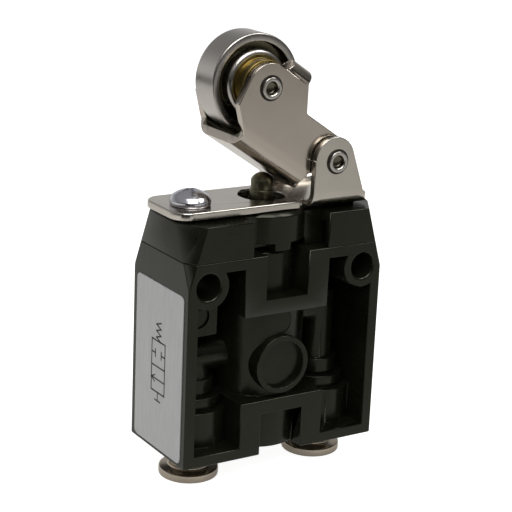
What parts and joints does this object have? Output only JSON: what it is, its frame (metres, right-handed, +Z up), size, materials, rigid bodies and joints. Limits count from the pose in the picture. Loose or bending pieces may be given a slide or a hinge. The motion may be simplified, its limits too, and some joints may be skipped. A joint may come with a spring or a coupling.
{
  "type": "roller lever air valve",
  "caption": "Small moulded air valve with push-in tube ports below and a roller on a hinged sheet-metal lever above that presses a plunger.",
  "frame": {"origin": "midway between the two fixing holes, on the back mounting face", "axes": "+Z up from the ports to the roller, +X along the width between the fixing holes, -Y out of the open front of the moulding"},
  "size_m": [0.0305, 0.0148, 0.0603],
  "materials": {
    "black_technopolymer": "fine moulded satin",
    "nickel_plated_sheet": "satin, bent and sheared",
    "plated_screw_steel": "polished",
    "rivet_steel": "satin, turned over",
    "roller_steel": "turned and ground",
    "sintered_bronze": "porous satin",
    "plunger_steel": "satin",
    "nitrile_rubber": "smooth",
    "spool_aluminium": "turned",
    "spring_steel": "bright drawn",
    "nickel_plated_brass": "polished nickel",
    "silver_label": "silver film"
  },
  "bodies": {
    "valve_body": {"body_moulding": "black_technopolymer", "head_moulding": "black_technopolymer", "lever_bracket": "nickel_plated_sheet", "bracket_screws": "plated_screw_steel", "pivot_rivet": "rivet_steel", "neck_seal": "nitrile_rubber", "seal_retainer": "spool_aluminium", "return_spring": "spring_steel", "rating_label": "silver_label", "port_sleeve_left": "nickel_plated_brass", "port_sleeve_right": "nickel_plated_brass", "grab_ring_left": "spring_steel", "grab_ring_right": "spring_steel", "tube_seal_left": "nitrile_rubber", "tube_seal_right": "nitrile_rubber"},
    "lever": {"lever": "nickel_plated_sheet", "roller_rivet": "rivet_steel"},
    "roller": {"roller": "roller_steel", "roller_bush_front": "sintered_bronze", "roller_bush_rear": "sintered_bronze"},
    "plunger": {"plunger": "plunger_steel", "spool": "spool_aluminium", "spool_o_rings": "nitrile_rubber"},
    "release_ring_left": {"release_ring_left": "nickel_plated_brass"},
    "release_ring_right": {"release_ring_right": "nickel_plated_brass"}
  },
  "joints": [
    {"name": "lever_hinge", "type": "hinge", "parent": "valve_body", "child": "lever", "pos_m": [0.00724, -0.0074, 0.01474], "axis": [0, -1, 0], "range_deg": [0, 20], "stiffness_Nm_per_rad": 0.15, "springref_deg": -17.19},
    {"name": "roller_spin", "type": "hinge", "parent": "lever", "child": "roller", "pos_m": [-0.00283, -0.0074, 0.02492], "axis": [0, 1, 0], "continuous": true},
    {"name": "plunger_slide", "type": "slide", "parent": "valve_body", "child": "plunger", "axis": [0, 0, -1], "range_m": [0, 0.00185], "deforming": ["return_spring"]},
    {"name": "release_slide_left", "type": "slide", "parent": "valve_body", "child": "release_ring_left", "axis": [0, 0, 1], "range_m": [0, 0.0008], "stiffness_N_per_m": 300, "springref_m": -0.001},
    {"name": "release_slide_right", "type": "slide", "parent": "valve_body", "child": "release_ring_right", "axis": [0, 0, 1], "range_m": [0, 0.0008], "stiffness_N_per_m": 300, "springref_m": -0.001}
  ],
  "couplings": [
    {"joint": "plunger_slide", "follows": "lever_hinge", "m_per_rad": 0.00525}
  ]
}
